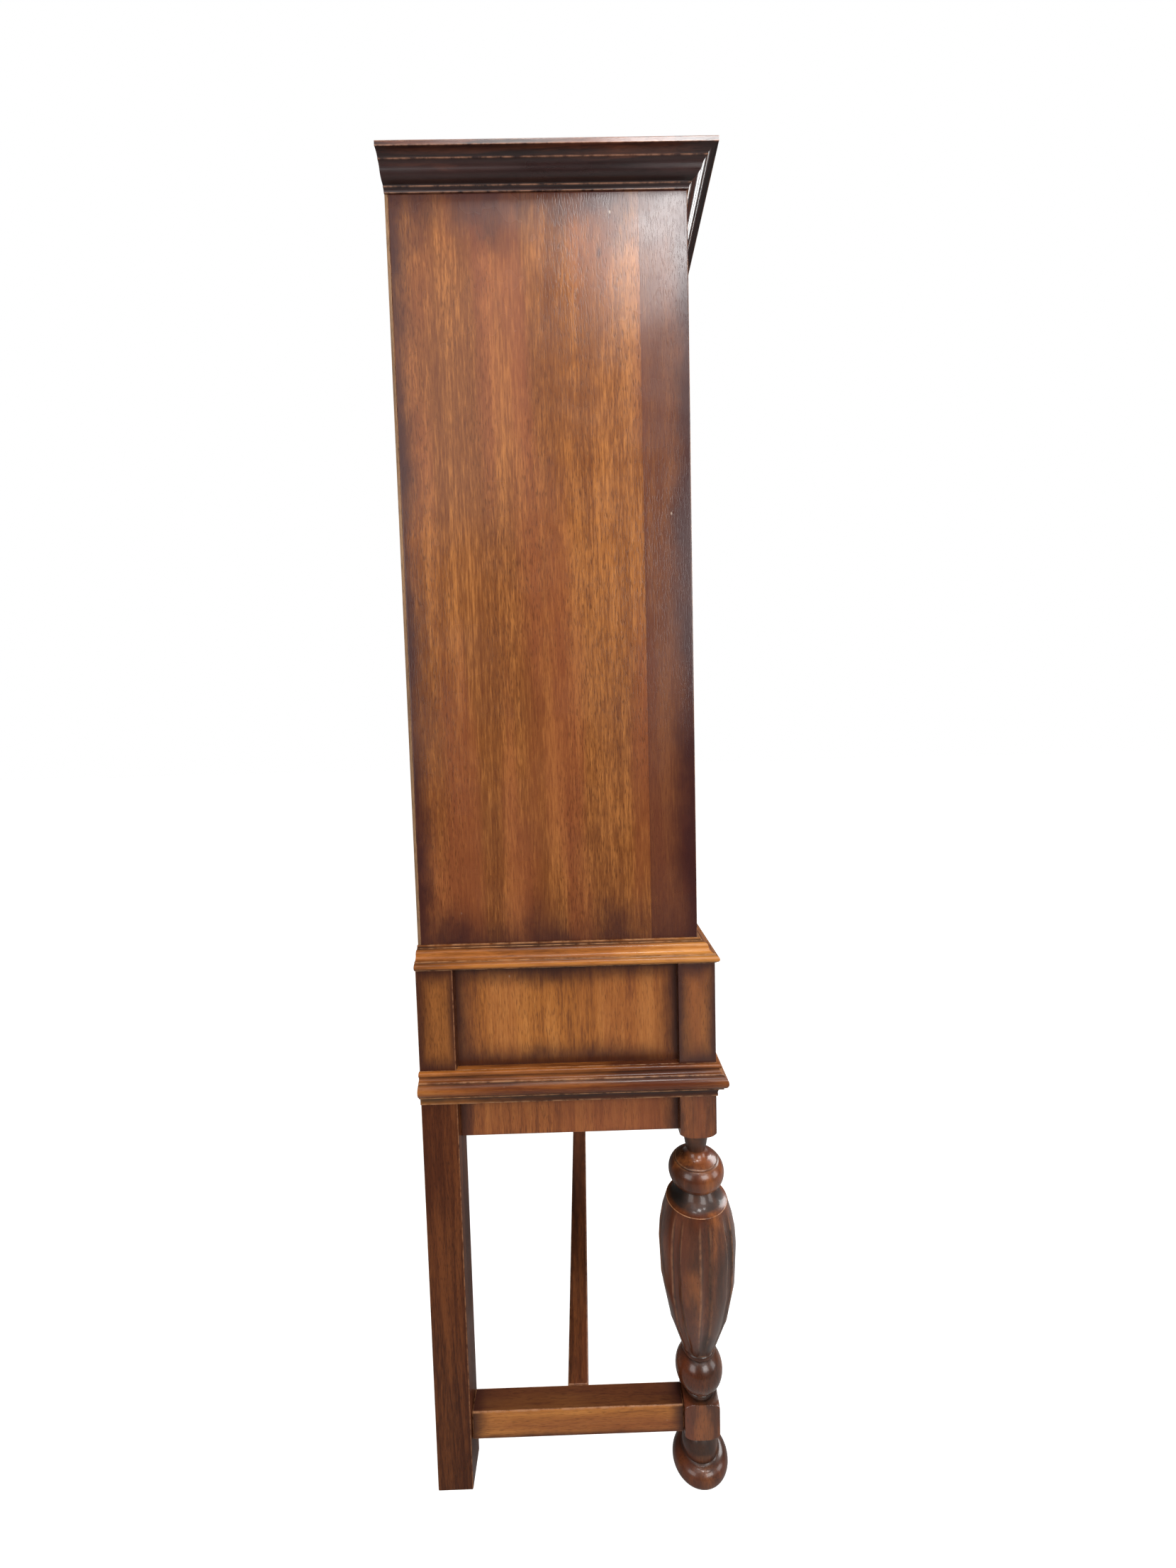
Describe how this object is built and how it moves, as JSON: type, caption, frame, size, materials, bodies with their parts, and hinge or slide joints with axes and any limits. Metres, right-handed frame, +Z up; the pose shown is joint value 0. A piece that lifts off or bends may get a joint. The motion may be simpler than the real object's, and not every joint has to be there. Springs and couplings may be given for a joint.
{
  "type": "tall chest of drawers",
  "caption": "Tall chest of drawers on a stand: turned front legs, square back legs, joined stretchers, mouldings, cornice, and drawers that slide out on runners.",
  "frame": {"origin": "middle of the footprint's bounding box, on the floor", "axes": "+Z up; the drawers open towards -Y; X runs across the width; the longest side is Z"},
  "size_m": [1.0604, 0.4442, 1.836],
  "materials": {
    "case_wood": "satin varnished reddish-brown hardwood",
    "cornice_wood": "satin varnished dark hardwood",
    "moulding_wood": "glossy varnished reddish-brown hardwood",
    "stand_wood": "satin varnished reddish-brown hardwood",
    "turned_wood": "glossy varnished brown hardwood",
    "stretcher_wood": "worn satin hardwood",
    "drawer_front_wood": "satin varnished reddish-brown hardwood",
    "drawer_box_wood": "bare pale wood",
    "inner_wood": "bare brown wood",
    "knob_wood": "glossy varnished dark hardwood"
  },
  "bodies": {
    "carcass": {"back_apron": "inner_wood", "back_leg_left": "stand_wood", "back_leg_right": "stand_wood", "base_moulding_front": "moulding_wood", "base_moulding_left": "moulding_wood", "base_moulding_right": "moulding_wood", "case_back_board": "inner_wood", "case_drawer_rails": "stand_wood", "case_drawer_runners": "inner_wood", "case_floor": "inner_wood", "case_side_left": "case_wood", "case_side_right": "case_wood", "case_top_board": "inner_wood", "case_top_rail": "stand_wood", "centre_stretcher": "stretcher_wood", "cornice_front": "cornice_wood", "cornice_left": "cornice_wood", "cornice_right": "cornice_wood", "drawer_stops": "inner_wood", "drawer_top_rail": "stand_wood", "front_apron": "stand_wood", "front_leg_left": "turned_wood", "front_leg_right": "turned_wood", "short_drawer_divider": "stand_wood", "side_apron_left": "stand_wood", "side_apron_right": "stand_wood", "side_stretcher_left": "stretcher_wood", "side_stretcher_right": "stretcher_wood", "stage_back_panel": "inner_wood", "stage_panel_left": "stand_wood", "stage_panel_right": "stand_wood", "stage_runners": "inner_wood", "waist_moulding_front": "moulding_wood", "waist_moulding_left": "moulding_wood", "waist_moulding_right": "moulding_wood"},
    "long_drawer_4": {"long_drawer_4_box": "drawer_box_wood", "long_drawer_4_front": "drawer_front_wood", "long_drawer_4_knobs": "knob_wood"},
    "long_drawer_3": {"long_drawer_3_box": "drawer_box_wood", "long_drawer_3_front": "drawer_front_wood", "long_drawer_3_knobs": "knob_wood"},
    "long_drawer_2": {"long_drawer_2_box": "drawer_box_wood", "long_drawer_2_front": "drawer_front_wood", "long_drawer_2_knobs": "knob_wood"},
    "long_drawer_1": {"long_drawer_1_box": "drawer_box_wood", "long_drawer_1_front": "drawer_front_wood", "long_drawer_1_knobs": "knob_wood"},
    "top_left_drawer": {"top_left_drawer_box": "drawer_box_wood", "top_left_drawer_front": "drawer_front_wood", "top_left_drawer_knobs": "knob_wood"},
    "top_right_drawer": {"top_right_drawer_box": "drawer_box_wood", "top_right_drawer_front": "drawer_front_wood", "top_right_drawer_knobs": "knob_wood"},
    "stand_drawer": {"stand_drawer_box": "drawer_box_wood", "stand_drawer_front": "drawer_front_wood", "stand_drawer_knobs": "knob_wood"}
  },
  "joints": [
    {"name": "long_drawer_4_slide", "type": "slide", "parent": "carcass", "child": "long_drawer_4", "axis": [0, -1, 0], "range_m": [0, 0.26]},
    {"name": "long_drawer_3_slide", "type": "slide", "parent": "carcass", "child": "long_drawer_3", "axis": [0, -1, 0], "range_m": [0, 0.26]},
    {"name": "long_drawer_2_slide", "type": "slide", "parent": "carcass", "child": "long_drawer_2", "axis": [0, -1, 0], "range_m": [0, 0.26]},
    {"name": "long_drawer_1_slide", "type": "slide", "parent": "carcass", "child": "long_drawer_1", "axis": [0, -1, 0], "range_m": [0, 0.26]},
    {"name": "top_left_drawer_slide", "type": "slide", "parent": "carcass", "child": "top_left_drawer", "axis": [0, -1, 0], "range_m": [0, 0.26]},
    {"name": "top_right_drawer_slide", "type": "slide", "parent": "carcass", "child": "top_right_drawer", "axis": [0, -1, 0], "range_m": [0, 0.26]},
    {"name": "stand_drawer_slide", "type": "slide", "parent": "carcass", "child": "stand_drawer", "axis": [0, -1, 0], "range_m": [0, 0.26]}
  ]
}
